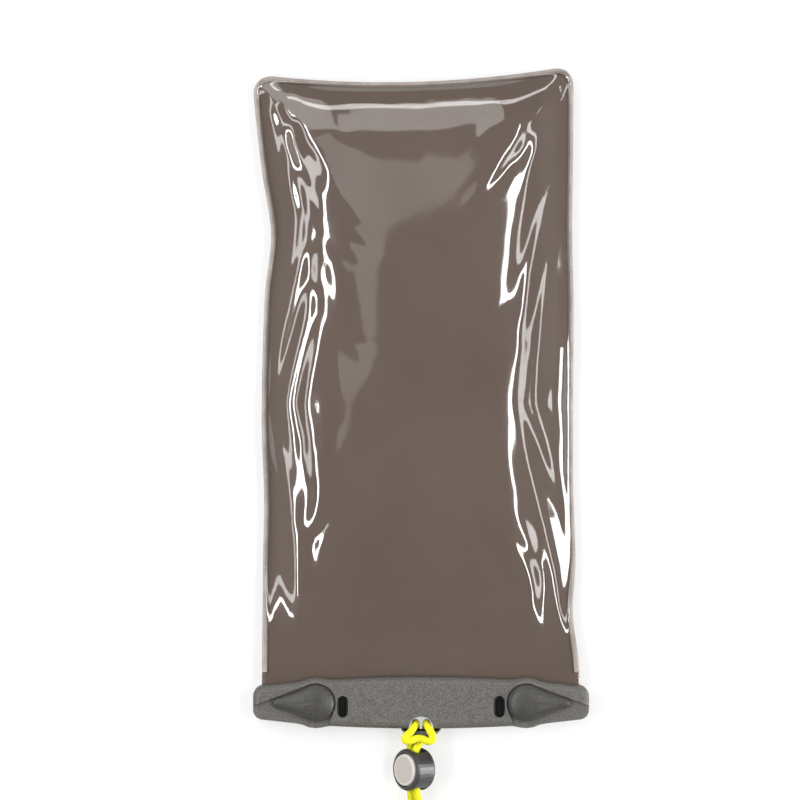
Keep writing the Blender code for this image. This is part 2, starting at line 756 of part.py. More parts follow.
def cord_slot(name, low, high, widen, parent):
    """A cutter along the cord: two strands wide and a little more, and as deep as the heights given."""
    half = STRAND_SPACING / 2 + CORD_DIAMETER / 2 + FIT + widen
    corner = CORD_DIAMETER / 2
    outline = []
    for x, z, start in (
        (half - corner, low + corner, -90),
        (half - corner, high - corner, 0),
        (-half + corner, high - corner, 90),
        (-half + corner, low + corner, 180),
    ):
        outline += arc((x, z), corner, start, start + 90, 4)
    mesh = plate(outline, -LOCK_RADIUS - PAST, LOCK_RADIUS + PAST, name)
    mesh.transform(Matrix.Rotation(math.pi / 2, 4, "X"))
    return as_tool(add_object(name, mesh, parent=parent))


def make_lock_housing(frame, material):
    lip = BUTTON_RADIUS + FIT
    profile = [
        (0, LOCK_BACK),
        (LOCK_RADIUS - LOCK_EDGE, LOCK_BACK),
        (LOCK_RADIUS - 0.3 * LOCK_EDGE, LOCK_BACK + 0.3 * LOCK_EDGE),
        (LOCK_RADIUS, LOCK_BACK + LOCK_EDGE),
        (LOCK_RADIUS, LOCK_FRONT - LOCK_EDGE),
        (LOCK_RADIUS - 0.3 * LOCK_EDGE, LOCK_FRONT - 0.3 * LOCK_EDGE),
        (LOCK_RADIUS - LOCK_EDGE, LOCK_FRONT),
        (lip + LOCK_LIP_EDGE, LOCK_FRONT),
        (lip, LOCK_FRONT - LOCK_LIP_EDGE),
        (lip, LOCK_LIP_BOTTOM),
        (LOCK_BORE, LOCK_LIP_BOTTOM),
        (LOCK_BORE, LOCK_FLOOR),
        (0, LOCK_FLOOR),
    ]
    housing = add_object("lock_housing", turned(profile, "lock_housing", 40), material, parent=frame)
    half = CORD_DIAMETER / 2 + FIT + LOCK_MOUTH_WIDER
    slot = cord_slot("cut_housing_slot", -half - LOCK_MOUTH_DEEPER, half, LOCK_MOUTH_WIDER, frame)
    combine(housing, slot)
    return housing


def make_lock_button(frame, material):
    flange = LOCK_BORE - FIT
    shoulder = LOCK_LIP_BOTTOM - FIT
    profile = [
        (0, BUTTON_BOTTOM),
        (flange - FLANGE_EDGE, BUTTON_BOTTOM),
        (flange, BUTTON_BOTTOM + FLANGE_EDGE),
        (flange, shoulder),
        (BUTTON_RADIUS, shoulder),
        (BUTTON_RADIUS, BUTTON_TOP - BUTTON_EDGE),
        (BUTTON_RADIUS - 0.3 * BUTTON_EDGE, BUTTON_TOP - 0.3 * BUTTON_EDGE),
        (BUTTON_RADIUS - BUTTON_EDGE, BUTTON_TOP),
        (0, BUTTON_TOP + BUTTON_CROWN),
    ]
    button = add_object("lock_button", turned(profile, "lock_button", 40), material, parent=frame)
    half = CORD_DIAMETER / 2 + FIT
    combine(button, cord_slot("cut_button_slot", -half, half + BUTTON_TRAVEL, 0.0, frame))
    return button


def tube(name, points, diameter, material, sides, parent=None):
    curve = bpy.data.curves.new(name, "CURVE")
    curve.dimensions = "3D"
    curve.bevel_depth = diameter / 2
    curve.bevel_resolution = sides
    curve.use_fill_caps = True
    spline = curve.splines.new("POLY")
    spline.points.add(len(points) - 1)
    for target, point in zip(spline.points, points):
        target.co = (*point, 1)
    return add_object(name, curve, material, parent=parent)


def make_lock_spring(frame, material):
    """A conical spring, which closes flat between the housing's floor and the button."""
    low = LOCK_FLOOR + SPRING_WIRE / 2 + SPRING_END_GAP
    high = BUTTON_BOTTOM - SPRING_WIRE / 2 - SPRING_END_GAP
    steps = 34
    points = []
    for i in range(steps + 1):
        share = i / steps
        angle = 2 * math.pi * SPRING_TURNS * share
        radius = SPRING_FOOT_RADIUS + (SPRING_TOP_RADIUS - SPRING_FOOT_RADIUS) * share
        points.append((radius * math.cos(angle), radius * math.sin(angle), low + (high - low) * share))
    return tube("lock_spring", points, SPRING_WIRE, material, 1, parent=frame)


# Lanyard


def smooth_route(points, count):
    """A centripetal Catmull-Rom curve through the points, read at even distances."""
    ends = [points[0] * 2 - points[1]] + points + [points[-1] * 2 - points[-2]]
    fine = []
    per_span = 24
    for p0, p1, p2, p3 in zip(ends, ends[1:], ends[2:], ends[3:]):
        t1 = math.sqrt((p1 - p0).length)
        t2 = t1 + math.sqrt((p2 - p1).length)
        t3 = t2 + math.sqrt((p3 - p2).length)
        for i in range(per_span):
            t = t1 + (t2 - t1) * i / per_span
            a1 = p0.lerp(p1, t / t1)
            a2 = p1.lerp(p2, (t - t1) / (t2 - t1))
            a3 = p2.lerp(p3, (t - t2) / (t3 - t2))
            b1 = a1.lerp(a2, t / t2)
            b2 = a2.lerp(a3, (t - t1) / (t3 - t1))
            fine.append(b1.lerp(b2, (t - t1) / (t2 - t1)))
    fine.append(points[-1])
    run = [0.0]
    for a, b in zip(fine, fine[1:]):
        run.append(run[-1] + (b - a).length)
    even = []
    k = 0
    for i in range(count):
        target = run[-1] * i / (count - 1)
        while k < len(run) - 2 and run[k + 1] < target:
            k += 1
        share = (target - run[k]) / (run[k + 1] - run[k])
        even.append(fine[k].lerp(fine[k + 1], min(share, 1.0)))
    return even


def make_lanyard_cord(material):
    """The stretch from the coil through the lock, round the lug's bar in a hitch and back to the coil."""
    route = [Vector(p) * MM for p in reversed(LEFT_STRAND)] + [Vector(p) * MM for p in RIGHT_STRAND]
    points = smooth_route(route, round(TUBE_POINTS))
    return tube("lanyard_cord", points, CORD_DIAMETER, material, TUBE_SIDES)


def coil_section():
    """Inner radius, outer radius, bottom and top of the wound cord."""
    half = STRAND_SPACING / 2 + CORD_DIAMETER / 2
    top = COIL_BASE + CORD_DIAMETER + (COIL_LAYERS - 1) * LAYER_RISE
    return COIL_RADIUS - half, COIL_RADIUS + half, COIL_BASE, top


def make_coil(material):
    inner, outer, bottom, top = coil_section()
    round_edge = 0.9 * MM
    section = [
        (inner, bottom + round_edge),
        (inner + round_edge, bottom),
        (outer - round_edge, bottom),
        (outer, bottom + round_edge),
        (outer, top - round_edge),
        (outer - round_edge, top),
        (inner + round_edge, top),
        (inner, top - round_edge),
        (inner, bottom + round_edge),
    ]
    bm = bmesh.new()
    steps = 40
    loops = []
    for radius, height in section[:-1]:
        angles = [2 * math.pi * i / steps for i in range(steps)]
        loops.append([bm.verts.new((radius * math.cos(a), radius * math.sin(a), height)) for a in angles])
    for low, high in zip(loops, loops[1:] + loops[:1]):
        for i in range(steps):
            j = (i + 1) % steps
            bm.faces.new((low[i], low[j], high[j], high[i]))
    return add_object("lanyard_coil", mesh_from(bm, "lanyard_coil"), material, location=(*COIL_CENTRE, 0))


def make_coil_tie(material):
    """A flat band closed round the coil's section, bent to the coil's own curve."""
    inner, outer, bottom, top = coil_section()

    def band(away):
        return [
            (inner - away, bottom - away),
            (outer + away, bottom - away),
            (outer + away, top + away),
            (inner - away, top + away),
        ]

    holes = band(FIT)
    shells = band(FIT + TIE_THICKNESS)
    bm = bmesh.new()
    steps = 5
    slices = []
    for i in range(steps + 1):
        angle = TIE_ANGLE + TIE_SPREAD * (2 * i / steps - 1)
        row = []
        for radius, height in holes + shells:
            row.append(bm.verts.new((radius * math.cos(angle), radius * math.sin(angle), height)))
        slices.append(row)
    for low, high in zip(slices, slices[1:]):
        for k in range(4):
            n = (k + 1) % 4
            bm.faces.new((low[k], low[n], high[n], high[k]))
            bm.faces.new((low[4 + k], high[4 + k], high[4 + n], low[4 + n]))
    for row in (slices[0], slices[-1]):
        for k in range(4):
            n = (k + 1) % 4
            bm.faces.new((row[k], row[4 + k], row[4 + n], row[n]))
    return add_object("coil_tie", mesh_from(bm, "coil_tie"), material, location=(*COIL_CENTRE, 0))


def make_ferrule(material):
    """The flat sleeve that joins the cord's two ends. It lies on the coil, along its top turn."""
    top = coil_section()[3]
    outline = []
    half_length = FERRULE_LENGTH / 2
    half_width = FERRULE_WIDTH / 2
    corner = 1.2 * MM
    for x, y, start in (
        (half_width - corner, -half_length + corner, -90),
        (half_width - corner, half_length - corner, 0),
        (-half_width + corner, half_length - corner, 90),
        (-half_width + corner, -half_length + corner, 180),
    ):
        outline += arc((x, y), corner, start, start + 90, 3)
    edges = (FERRULE_BOTTOM_EDGE, FERRULE_TOP_EDGE)
    mesh = plate(outline, 0.0, FERRULE_HEIGHT, "lanyard_ferrule", *edges, 3)
    across = COIL_RADIUS * math.cos(FERRULE_ANGLE)
    along = COIL_RADIUS * math.sin(FERRULE_ANGLE)
    place = (COIL_CENTRE.x + across, COIL_CENTRE.y + along, top + FIT)
    ferrule = add_object("lanyard_ferrule", mesh, material, location=place)
    ferrule.rotation_euler.z = FERRULE_ANGLE
    return ferrule


def main():
    clear_scene()
    look = make_materials()
    make_film("front_film", look["clear_film"], is_front=True)
    make_film("back_film", look["taupe_film"], is_front=False)
    make_front_jaw(look["grey_plastic"])
    make_rear_jaw(look["grey_plastic"])
    make_seal("front_seal", SEAM_PLANE + HALF_FIT + FILM + FIT, look["black_rubber"])
    make_seal("rear_seal", SEAM_PLANE - HALF_FIT - FILM - FIT - SEAL_DEPTH, look["black_rubber"])
    for name, side in (("left", -1), ("right", 1)):
        make_lever(f"{name}_lever", side, look["lever_plastic"])
        make_peg(f"{name}_peg", side, look["black_rubber"])
    frame = lock_frame()
    make_lock_housing(frame, look["lock_plastic"])
    make_lock_button(frame, look["button_plastic"])
    make_lock_spring(frame, look["spring_steel"])
    make_lanyard_cord(look["yellow_cord"])
    make_coil(look["yellow_cord"])
    make_coil_tie(look["black_rubber"])
    make_ferrule(look["black_rubber"])


main()
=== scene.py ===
"""The looks of the waterproof pouch: welded films, clip, lanyard cord and studio.

Everything is in metres, in the frame of the CAD model: +Y to the pouch's closed end, +Z to its clear front.
"""

import math

import bpy
import numpy as np
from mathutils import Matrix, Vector, noise


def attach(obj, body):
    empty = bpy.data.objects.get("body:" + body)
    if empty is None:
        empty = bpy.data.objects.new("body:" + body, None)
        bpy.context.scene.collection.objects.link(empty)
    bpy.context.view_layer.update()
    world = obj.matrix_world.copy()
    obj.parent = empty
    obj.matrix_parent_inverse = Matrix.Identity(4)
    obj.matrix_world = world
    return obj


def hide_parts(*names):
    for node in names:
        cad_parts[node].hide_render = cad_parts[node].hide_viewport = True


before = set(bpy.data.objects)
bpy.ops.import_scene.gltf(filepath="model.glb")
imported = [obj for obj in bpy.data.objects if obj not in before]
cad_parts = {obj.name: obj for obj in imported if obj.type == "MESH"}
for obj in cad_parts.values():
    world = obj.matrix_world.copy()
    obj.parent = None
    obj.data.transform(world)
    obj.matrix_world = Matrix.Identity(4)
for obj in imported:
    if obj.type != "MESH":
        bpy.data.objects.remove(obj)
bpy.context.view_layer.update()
MM = 0.001

# Camera
VIEW_CENTRE = Vector((-9.66, 1.6)) * MM
VIEW_WIDTH = 368.0 * MM
VIEW_LEVEL = 8.0 * MM
CAMERA_HEIGHT = 2.0
SENSOR = 36.0
VIEW_REACH = 20.0

# Films: their outline and swell, as in the CAD model
FILM = 0.5 * MM
WELD_WIDTH = 2.1 * MM
WELD_START_Y = -123.6 * MM
CORNER_RADIUS = 9.7 * MM
MOUTH_Y = -133.8 * MM
CLIP_EDGE_Y = -125.6 * MM
CLOSED_END_Y = 148.2 * MM
CLOSED_END_BOW = 4.6 * MM
CLOSED_END_SLOPE = 2.3 * MM
CLOSED_END_REACH = 67.0 * MM
FRONT_BULGE = 13.5 * MM
SEAM_PLANE = 7.0 * MM
SEAM_HEIGHT = 5.0 * MM
SIDE_RISE = 34.0 * MM
CLOSED_RISE = 30.0 * MM
END_RISE = 46.0 * MM
BACK_RISE = 17.0 * MM
MOUTH_RISE = 1.6
SWELL_POWER = 0.8
# Height along the pouch, then the left and the right edge, in millimetres
SIDE_EDGES = (
    (-134.0, -73.2, 73.4),
    (-117.0, -73.1, 72.4),
    (-96.0, -72.9, 69.9),
    (-73.0, -72.7, 71.2),
    (-43.0, -72.2, 70.2),
    (-7.0, -73.3, 70.0),
    (48.0, -71.9, 70.2),
    (77.0, -69.0, 69.6),
    (104.0, -73.0, 69.9),
    (125.0, -75.6, 70.1),
    (142.0, -77.2, 70.2),
    (154.0, -77.2, 70.2),
)

# Films: what the solids don't show. A wave is its scale along x and y and the plane of noise it is cut from
FILM_COLUMNS = 96
FILM_ROWS = 176
FRONT_THICKNESS = 0.35 * MM
BACK_THICKNESS = 0.45 * MM
SEAM_HALF_GAP = 0.15 * MM
SEAM_WAVE_HEIGHT = 1.1 * MM
SEAM_WAVE = (9, 34, 3.7)
BUCKLE_HEIGHT = 0.9 * MM
BUCKLE_LIFT = 0.5
BROAD_BUCKLE = (22, 13, 1.3)
FINE_BUCKLE = (50, 34, 5.1)
FINE_BUCKLE_SHARE = 0.5
PUCKER_START = 5.0 * MM
PUCKER_REACH = 24.0 * MM
PUCKER_PITCH = 8.0 * MM
PUCKER_SLANT = 45.0 * MM
PUCKER_HEIGHT = 1.9 * MM
PUCKER_DRIFT = 1.6
PUCKER_DRIFT_WAVE = (12, 9, 8.3)
PUCKER_ALONG = 9
PUCKER_PLANE = 4.9
CUT_WIDER = 1.03
CUT_LONGER = 1.02
CLOTH_FRAMES = 25
PINNED_WITHIN = 0.3 * MM
MOST_MOVED = 5.0 * MM
SMOOTHING_PASSES = 4
RIM_SIDE_STEPS = 240
RIM_END_STEPS = 130
SEAM_LINE_WIDTH = 0.65

# Cord
CORD_DIAMETER = 3.6 * MM
STRAND_SPACING = 3.75 * MM
COIL_RADIUS = 21.6 * MM
COIL_CENTRE = Vector((-23.7, -211.5)) * MM
CORD_LEVEL = 2.6 * MM
LAYER_RISE = 3.65 * MM
COIL_TURNS = 2.80
FERRULE_LEVEL = 14.4 * MM
STRAIGHT_STEPS = 4
COIL_STEPS = 150
CROSSOVER_START = 0.55
CROSSOVER_TURNS = 0.2
END_CLIMB_BEFORE = 0.08
END_CLIMB_TURNS = 0.06
ROUTE_STEPS = 24
CORD_STEP = 0.33 * MM
CORD_SIDES = 32
BRAID_CARRIERS = 8
BRAID_PITCH = 2.5 * MM
BRAID_DEPTH = 0.32 * MM
YARN_END_HEIGHT = 0.45
# The cord's centreline in millimetres: the hitch's right half and its strand to the coil, then the left
RIGHT_STRAND = (
    (-0.9, -153.8, 12.0),
    (1.1, -154.2, 12.1),
    (2.9, -155.0, 12.7),
    (4.7, -154.8, 13.1),
    (5.4, -153.0, 13.0),
    (4.3, -150.4, 12.4),
    (3.0, -148.2, 10.9),
    (2.5, -146.9, 7.8),
    (2.4, -148.0, 4.7),
    (2.0, -151.4, 3.6),
    (0.7, -154.5, 3.8),
    (-0.6, -156.3, 6.9),
    (-1.7, -157.7, 10.4),
    (-2.4, -159.2, 12.0),
    (-2.4, -161.6, 12.2),
    (-2.4, -167.8, 12.2),
    (-2.4, -175.6, 12.2),
    (-1.6, -181.8, 9.4),
    (-0.6, -188.5, 4.4),
    (-0.25, -193.0, 2.8),
    (-0.225, -197.5, 2.6),
)
LEFT_STRAND = (
    (-3.1, -154.1, 12.3),
    (-5.4, -154.9, 12.9),
    (-7.3, -154.5, 13.1),
    (-7.0, -152.8, 13.1),
    (-4.7, -150.6, 12.9),
    (-3.05, -148.2, 11.0),
    (-2.5, -146.9, 7.8),
    (-2.4, -148.0, 4.7),
    (-2.4, -151.4, 3.6),
    (-3.3, -154.4, 3.8),
    (-4.6, -156.3, 5.8),
    (-5.0, -158.4, 8.2),
    (-4.8, -160.9, 9.2),
    (-4.8, -167.8, 9.2),
    (-4.8, -175.6, 9.2),
    (-4.5, -181.5, 6.9),
    (-4.1, -187.5, 3.5),
    (-3.975, -192.6, 2.6),
)

# Cord lock, as in the CAD model
LOCK_CENTRE = Vector((-3.6, -168.1, 10.7)) * MM
LOCK_TILT = math.radians(51)
LOCK_AXIS = Vector((-math.sin(LOCK_TILT), 0, math.cos(LOCK_TILT)))

scene = bpy.context.scene
scene.view_settings.view_transform = "Standard"


def smoothstep(t):
    t = min(max(t, 0.0), 1.0)
    return t * t * (3 - 2 * t)


def add_mesh(name, vertices, faces, smooth=True):
    mesh = bpy.data.meshes.new(name)
    mesh.from_pydata([tuple(v) for v in vertices], [], [tuple(f) for f in faces])
    mesh.update()
    if smooth:
        mesh.shade_smooth()
    obj = bpy.data.objects.new(name, mesh)
    scene.collection.objects.link(obj)
    return obj


# Camera


def make_camera():
    data = bpy.data.cameras.new("camera")
    data.sensor_width = SENSOR
    data.lens = SENSOR * (CAMERA_HEIGHT - VIEW_LEVEL) / VIEW_WIDTH
    data.clip_end = VIEW_REACH
    camera = bpy.data.objects.new("camera", data)
    camera.location = (*VIEW_CENTRE, CAMERA_HEIGHT)
    scene.collection.objects.link(camera)
    scene.camera = camera


# Cord


def even_route(points, spacing):
    """A centripetal Catmull-Rom curve through the points, read at even distances."""
    points = [np.array(p, float) for p in points]
    ends = [2 * points[0] - points[1]] + points + [2 * points[-1] - points[-2]]
    fine = []
    for p0, p1, p2, p3 in zip(ends, ends[1:], ends[2:], ends[3:]):
        t1 = math.sqrt(np.linalg.norm(p1 - p0))
        t2 = t1 + math.sqrt(np.linalg.norm(p2 - p1))
        t3 = t2 + math.sqrt(np.linalg.norm(p3 - p2))
        for t in np.linspace(t1, t2, ROUTE_STEPS, endpoint=False):
            a1 = p0 + (p1 - p0) * (t / t1)
            a2 = p1 + (p2 - p1) * ((t - t1) / (t2 - t1))
            a3 = p2 + (p3 - p2) * ((t - t2) / (t3 - t2))
            b1 = a1 + (a2 - a1) * (t / t2)
            b2 = a2 + (a3 - a2) * ((t - t1) / (t3 - t1))
            fine.append(b1 + (b2 - b1) * ((t - t1) / (t2 - t1)))
    fine.append(points[-1])
    fine = np.array(fine)
    run = np.concatenate([[0], np.cumsum(np.linalg.norm(np.diff(fine, axis=0), axis=1))])
    places = np.linspace(0, run[-1], int(run[-1] / spacing) + 2)
    return np.stack([np.interp(places, run, fine[:, k]) for k in range(3)], axis=1)


def wound(offset, start_y):
    """One strand of the coil, clockwise from the right side, ending inside the ferrule."""
    radius = COIL_RADIUS + offset
    points = []
    straight = start_y - COIL_CENTRE.y
    for i in range(1, STRAIGHT_STEPS):
        points.append((COIL_CENTRE.x + radius, start_y - straight * i / STRAIGHT_STEPS, CORD_LEVEL))
    for i in range(COIL_STEPS + 1):
        turns = COIL_TURNS * i / COIL_STEPS
        layer = math.floor(turns) + smoothstep((turns % 1 - CROSSOVER_START) / CROSSOVER_TURNS)
        level = CORD_LEVEL + LAYER_RISE * layer
        top = CORD_LEVEL + 3 * LAYER_RISE
        climb = smoothstep((turns - (COIL_TURNS - END_CLIMB_BEFORE)) / END_CLIMB_TURNS)
        level += (FERRULE_LEVEL - top) * climb
        angle = -2 * math.pi * turns
        x = COIL_CENTRE.x + radius * math.cos(angle)
        y = COIL_CENTRE.y + radius * math.sin(angle)
        points.append((x, y, level))
    return points


def cord_centreline():
    """The whole cord, from its left end in the ferrule round the lug to its right end."""
    right = [Vector(p) * MM for p in RIGHT_STRAND] + wound(STRAND_SPACING / 2, RIGHT_STRAND[-1][1] * MM)
    left = [Vector(p) * MM for p in LEFT_STRAND] + wound(-STRAND_SPACING / 2, LEFT_STRAND[-1][1] * MM)
    return even_route(list(reversed(left)) + right, CORD_STEP)


def frames_along(line):
    """Two normals along a line, square to each other and carried without twist."""
    tangents = np.gradient(line, axis=0)
    tangents /= np.linalg.norm(tangents, axis=1)[:, None]
    normal = np.cross(tangents[0], (0.0, 0.0, 1.0))
    normals = []
    for tangent in tangents:
        normal = normal - tangent * normal.dot(tangent)
        normal /= np.linalg.norm(normal)
        normals.append(normal)
    normals = np.array(normals)
    return normals, np.cross(tangents, normals)


def braid(around, along):
    """Height from 0 to 1 of a plain braid, with BRAID_CARRIERS yarns wound each way."""
    a = BRAID_CARRIERS * around + along / BRAID_PITCH
    b = BRAID_CARRIERS * around - along / BRAID_PITCH
    fa = a - np.floor(a)
    fb = b - np.floor(b)
    over = (np.floor(a) + np.floor(b)) % 2 < 1
    across = np.where(over, fa, fb)
    length = np.where(over, fb, fa)
    crown = YARN_END_HEIGHT + (1 - YARN_END_HEIGHT) * np.sin(np.pi * length)
    return np.sqrt(np.sin(np.pi * across)) * crown


def make_cord():
    """The braided cord as one surface, with its relief, which the material turns into painted shade in the
    dips, and its yarn's own coordinates for the material.
    """
    line = cord_centreline()
    first, second = frames_along(line)
    sides = CORD_SIDES
    spacing = np.linalg.norm(np.diff(line, axis=0), axis=1)
    run = np.concatenate([[0], np.cumsum(spacing)])
    around = np.arange(sides) / sides
    angle = 2 * np.pi * around
    height = braid(around[None, :], run[:, None])
    radius = CORD_DIAMETER / 2 - BRAID_DEPTH * (1 - height)
    ring = np.cos(angle)[None, :, None] * first[:, None, :]
    ring = ring + np.sin(angle)[None, :, None] * second[:, None, :]
    vertices = (line[:, None, :] + ring * radius[:, :, None]).reshape(-1, 3)
    faces = []
    for i in range(len(line) - 1):
        for j in range(sides):
            k = (j + 1) % sides
            faces.append((i * sides + j, i * sides + k, (i + 1) * sides + k, (i + 1) * sides + j))
    faces.append(tuple(reversed(range(sides))))
    last = (len(line) - 1) * sides
    faces.append(tuple(last + j for j in range(sides)))
    cord = add_mesh("lanyard", vertices, faces)
    relief = cord.data.attributes.new("relief", "FLOAT", "POINT")
    relief.data.foreach_set("value", height.reshape(-1).astype(np.float32))
    yarn = cord.data.attributes.new("yarn", "FLOAT_VECTOR", "POINT")
    places = np.zeros((len(vertices), 3), np.float32)
    places[:, 0] = np.tile(around * 2 * np.pi * CORD_DIAMETER / 2, len(line))
    places[:, 1] = np.repeat(run, sides)
    yarn.data.foreach_set("vector", places.reshape(-1))
    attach(cord, "pouch")
    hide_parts("lanyard_cord", "lanyard_coil")
    return cord


make_camera()
cord = make_cord()


# Materials

# Colours in linear light
CLIP_GREY = (0.100, 0.095, 0.085)
LEVER_GREY = (0.050, 0.048, 0.045)
RUBBER_BLACK = (0.005, 0.005, 0.005)
LOCK_BLACK = (0.014, 0.013, 0.014)
# Painted shade: the yarn's colour in the braid's dips, darker and greener than on its crowns
YARN_DIP_PAINTED_SHADE = (0.27, 0.34, 0.003)
YARN_CROWN = (0.94, 0.905, 0.008)
YARN_FIBRE = (0.99, 0.97, 0.03)
FILM_TINT = (0.15, 0.115, 0.095)
FILM_CLEAR = (0.97, 0.96, 0.95)
TAUPE_DARK = (0.140, 0.094, 0.070)
TAUPE_PALE = (0.195, 0.138, 0.108)
TAUPE_GRAIN = (0.205, 0.148, 0.118)
WELD_DARK = (0.245, 0.21, 0.19)
WELD_PALE = (0.37, 0.325, 0.295)
# The dark line beside the weld: partly the seam's darker film, partly painted shade
SEAM_LINE_AND_SHADE_DARK = (0.03, 0.02, 0.014)
SEAM_LINE_AND_SHADE_BROWN = (0.07, 0.046, 0.034)
BUTTON_DARK = (0.46, 0.42, 0.38)
BUTTON_PALE = (0.54, 0.49, 0.45)
BUTTON_RING = (0.66, 0.63, 0.60)
STEEL = (0.6, 0.6, 0.6)
FLOOR_DARK = (0.86, 0.86, 0.86)
FLOOR_PALE = (0.9, 0.9, 0.9)

# Scales of the patterns, in cells a metre
MOULD_GRAIN = 1500.0
MOULD_PATCHES = 90.0
SMEARS = 160.0
PLASTIC_RIPPLE = 900.0
FIBRES = 5200.0
FILM_HAZE = 28.0
FILM_RIPPLE = 240.0
TAUPE_CLOUDS = 14.0
TAUPE_POINTS = 2200.0
WELD_CLOUDS = 120.0
WELD_POINTS = 1500.0
SEAM_MOTTLE = 300.0
BUTTON_POINTS = 2400.0
STEEL_MOTTLE = 3000.0
FLOOR_MOTTLE = 60.0

GRAIN_DEPTH = 0.09 * MM
ROUGHNESS_SPREAD = 0.05
RING_START = 6.1 * MM
RING_END = 6.5 * MM


class Look:
    """A small helper that builds a material's node tree."""

    def __init__(self, name):
        self.material = bpy.data.materials.new(name)
        self.material.use_nodes = True
        self.tree = self.material.node_tree
        self.shader = self.tree.nodes["Principled BSDF"]
        self.output = self.tree.nodes["Material Output"]

    def node(self, kind, **settings):
        """A new node. A setting is a property of it or, with spaces as underscores, a socket."""
        made = self.tree.nodes.new(kind)
        for key, value in settings.items():
            if hasattr(made, key):
                setattr(made, key, value)
            else:
                made.inputs[key.replace("_", " ")].default_value = value
        return made

    def link(self, source, target):
        self.tree.links.new(source, target)

    def set(self, **values):
        for key, value in values.items():
            self.shader.inputs[key.replace("_", " ")].default_value = value

    def coordinates(self):
        return self.node("ShaderNodeTexCoord").outputs["Object"]

    def noise(self, where, scale, detail=3.0, roughness=0.5):
        made = self.node("ShaderNodeTexNoise", Scale=scale, Detail=detail, Roughness=roughness)
        self.link(where, made.inputs["Vector"])
        return made.outputs["Fac"]

    def ramp(self, source, low, high, start=0.0, end=1.0):
        """Carries the range from start to end over to the range from low to high, and holds at both ends."""
        made = self.node("ShaderNodeMapRange")
        made.inputs["From Min"].default_value = start
        made.inputs["From Max"].default_value = end
        made.inputs["To Min"].default_value = low
        made.inputs["To Max"].default_value = high
        self.link(source, made.inputs["Value"])
        return made.outputs["Result"]

    def mix_colours(self, factor, first, second):
        made = self.node("ShaderNodeMixRGB")
        self.link(factor, made.inputs["Fac"])
        for target, colour in ((made.inputs["Color1"], first), (made.inputs["Color2"], second)):
            if isinstance(colour, tuple):
                target.default_value = (*colour, 1.0)
            else:
                self.link(colour, target)
        return made.outputs["Color"]

    def math(self, operation, first, second):
        made = self.node("ShaderNodeMath", operation=operation)
        self.link(first, made.inputs[0])
        self.link(second, made.inputs[1])
        return made.outputs["Value"]

    def bump(self, height, distance, strength):
        made = self.node("ShaderNodeBump", Distance=distance, Strength=strength)
        self.link(height, made.inputs["Height"])
        self.link(made.outputs["Normal"], self.shader.inputs["Normal"])


def shades(colour, share):
    """The colour darker and lighter by a share."""
    return tuple(c * (1 - share) for c in colour), tuple(c * (1 + share) for c in colour)


def textured_plastic(name, colour, roughness, mottle=0.2, specular=0.5):
    """Moulded plastic with the fine matte texture of an eroded mould."""
    look = Look(name)
    where = look.coordinates()
    fine = look.noise(where, MOULD_GRAIN, detail=2.0, roughness=0.6)
    broad = look.noise(where, MOULD_PATCHES)
    speckle = look.mix_colours(look.ramp(fine, 0, 1, start=0.35, end=0.65), *shades(colour, mottle))
    look.link(speckle, look.shader.inputs["Base Color"])
    rough = look.ramp(broad, roughness - ROUGHNESS_SPREAD, roughness + ROUGHNESS_SPREAD)
    look.link(rough, look.shader.inputs["Roughness"])
    look.bump(fine, GRAIN_DEPTH, strength=0.6)
    look.set(Specular_IOR_Level=specular)
    return look.material


def smooth_plastic(name, colour, roughness, specular):
    look = Look(name)
    where = look.coordinates()
    smear = look.noise(where, SMEARS, detail=4.0)
    rough = look.ramp(smear, roughness * 0.8, roughness * 1.3, start=0.3, end=0.7)
    look.link(rough, look.shader.inputs["Roughness"])
    tone = look.mix_colours(look.ramp(smear, 0, 1, start=0.3, end=0.7), *shades(colour, 0.15))
    look.link(tone, look.shader.inputs["Base Color"])
    look.bump(look.noise(where, PLASTIC_RIPPLE, detail=2.0), 0.01 * MM, strength=0.4)
    look.set(Specular_IOR_Level=specular)
    return look.material


def cord_material():
    """Fluorescent yarn: bright yellow on the crowns of the braid, with painted shade, darker and greener,
    where it dips.
    """
    look = Look("braided_cord")
    relief = look.node("ShaderNodeAttribute", attribute_name="relief").outputs["Fac"]
    yarn = look.node("ShaderNodeAttribute", attribute_name="yarn").outputs["Vector"]
    fibres = look.noise(yarn, FIBRES, detail=2.0, roughness=0.6)
    # Painted shade in the dips of the braid, following the relief
    tone = look.mix_colours(look.ramp(relief, 0, 1, start=0.1, end=0.75), YARN_DIP_PAINTED_SHADE, YARN_CROWN)
    tone = look.mix_colours(look.ramp(fibres, 0, 0.35, start=0.35, end=0.75), tone, YARN_FIBRE)
    look.link(tone, look.shader.inputs["Base Color"])
    look.set(Roughness=0.75, Specular_IOR_Level=0.3, Sheen_Weight=0.1, Sheen_Roughness=0.5)
    look.bump(fibres, 0.08 * MM, strength=0.5)
    return look.material


def clear_film_material():
    """A thin clear film: it shows what lies behind it, with a faint haze and sharp reflections."""
    look = Look("clear_film_look")
    where = look.coordinates()
    haze = look.noise(where, FILM_HAZE, detail=4.0)
    look.set(Base_Color=(*FILM_TINT, 1), Roughness=0.06, IOR=2.6)
    clear = look.node("ShaderNodeBsdfTransparent", Color=(*FILM_CLEAR, 1))
    facing = look.node("ShaderNodeLayerWeight", Blend=0.35)
    edge = look.ramp(facing.outputs["Facing"], 0.15, 0.5)
    veil = look.ramp(haze, 0.05, 0.12, start=0.35, end=0.7)
    mixer = look.node("ShaderNodeMixShader")
    look.link(look.math("ADD", edge, veil), mixer.inputs["Fac"])
    look.link(clear.outputs["BSDF"], mixer.inputs[1])
    look.link(look.shader.outputs["BSDF"], mixer.inputs[2])
    look.link(mixer.outputs["Shader"], look.output.inputs["Surface"])
    look.bump(look.noise(where, FILM_RIPPLE), 0.04 * MM, strength=0.35)
    return look.material


